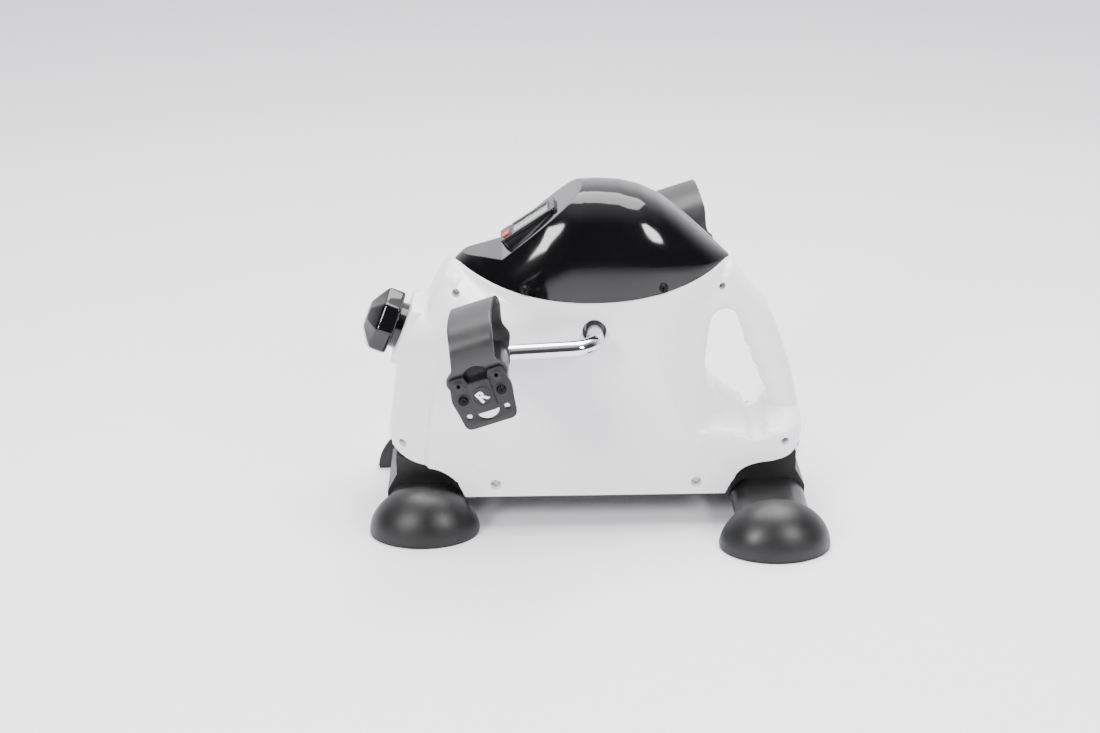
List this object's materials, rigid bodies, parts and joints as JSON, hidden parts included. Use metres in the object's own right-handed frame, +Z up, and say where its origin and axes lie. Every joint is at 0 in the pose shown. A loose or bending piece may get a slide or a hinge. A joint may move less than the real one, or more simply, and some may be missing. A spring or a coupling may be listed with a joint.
{
  "type": "pedal exerciser",
  "caption": "Small free-standing pedal exerciser with two strapped pedals, a brake knob, a carrying handle and a meter on its cover.",
  "frame": {"origin": "on the floor, under the middle of the whole object with the cranks level", "axes": "+X runs along the body towards the carrying handle, +Y to the user's left along the crank axis, +Z up"},
  "size_m": [0.386, 0.369, 0.283],
  "materials": {
    "white_plastic": "gloss",
    "black_gloss": "gloss",
    "black_plastic": "satin",
    "charcoal_paint": "satin",
    "frame_paint": "satin",
    "chrome": "polished",
    "zinc_steel": "satin",
    "brass": "satin",
    "cast_wheel": "satin",
    "band_felt": "matte",
    "nylon": "satin",
    "strap_plastic": "satin",
    "plate_plastic": "satin",
    "lcd_glass": "gloss",
    "red_plastic": "gloss",
    "board_green": "satin"
  },
  "bodies": {
    "stand": {"shell_right": "white_plastic", "shell_left": "white_plastic", "top_cover": "black_gloss", "foot_cap_user_right": "black_plastic", "foot_cap_user_left": "black_plastic", "foot_cap_handle_right": "black_plastic", "foot_cap_handle_left": "black_plastic", "meter_case": "black_plastic", "battery_lid": "black_plastic", "reed_sensor": "black_plastic", "sensor_lead": "black_plastic", "stabiliser_user": "charcoal_paint", "stabiliser_handle": "charcoal_paint", "base_frame": "frame_paint", "frame_saddle_user": "frame_paint", "frame_saddle_handle": "frame_paint", "bearing_plate_right": "frame_paint", "bearing_plate_left": "frame_paint", "tension_bracket": "frame_paint", "stabiliser_bolts": "zinc_steel", "stabiliser_nuts": "zinc_steel", "frame_screws": "zinc_steel", "band_anchor_pin": "zinc_steel", "band_spring": "zinc_steel", "button_cell": "zinc_steel", "shell_screws": "zinc_steel", "base_screws": "zinc_steel", "cover_screws": "zinc_steel", "bush_right": "nylon", "bush_left": "nylon", "friction_band": "band_felt", "meter_window": "lcd_glass", "display_panel": "lcd_glass", "circuit_board": "board_green"},
    "crank": {"axle_sleeve": "zinc_steel", "crank_right": "chrome", "crank_left": "chrome", "cross_bolts": "zinc_steel", "brake_wheel": "cast_wheel", "magnet": "zinc_steel", "spindle_screw_right": "zinc_steel", "spindle_screw_left": "zinc_steel"},
    "pedal_right": {"pedal_body_right": "plate_plastic", "pedal_end_plate_right": "plate_plastic", "pedal_inner_plate_right": "plate_plastic", "pedal_strap_right": "strap_plastic", "pedal_screws_right": "zinc_steel"},
    "pedal_left": {"pedal_body_left": "plate_plastic", "pedal_end_plate_left": "plate_plastic", "pedal_inner_plate_left": "plate_plastic", "pedal_strap_left": "strap_plastic", "pedal_screws_left": "zinc_steel"},
    "knob": {"tension_knob": "black_gloss", "tension_screw": "zinc_steel", "screw_collar": "zinc_steel"},
    "nut": {"tension_nut": "brass"},
    "button": {"meter_button": "red_plastic"}
  },
  "joints": [
    {"name": "crank_spin", "type": "hinge", "parent": "stand", "child": "crank", "pos_m": [0, 0, 0.1715], "axis": [0, 1, 0], "continuous": true},
    {"name": "pedal_right_spin", "type": "hinge", "parent": "crank", "child": "pedal_right", "pos_m": [-0.0899, -0.144, 0.16726], "axis": [0, 1, 0], "continuous": true},
    {"name": "pedal_left_spin", "type": "hinge", "parent": "crank", "child": "pedal_left", "pos_m": [0.0899, 0.144, 0.17574], "axis": [0, 1, 0], "continuous": true},
    {"name": "knob_turn", "type": "hinge", "parent": "stand", "child": "knob", "pos_m": [-0.1583, 0, 0.1581], "axis": [-0.9239, 0, 0.3827], "range_deg": [0, 1440]},
    {"name": "nut_slide", "type": "slide", "parent": "stand", "child": "nut", "axis": [-0.9239, 0, 0.3827], "range_m": [0, 0.008], "deforming": ["band_spring"]},
    {"name": "button_press", "type": "slide", "parent": "stand", "child": "button", "axis": [0.549, 0, -0.8358], "range_m": [0, 0.001], "stiffness_N_per_m": 500}
  ],
  "couplings": [
    {"joint": "nut_slide", "follows": "knob_turn", "m_per_rad": 0.00031831}
  ]
}
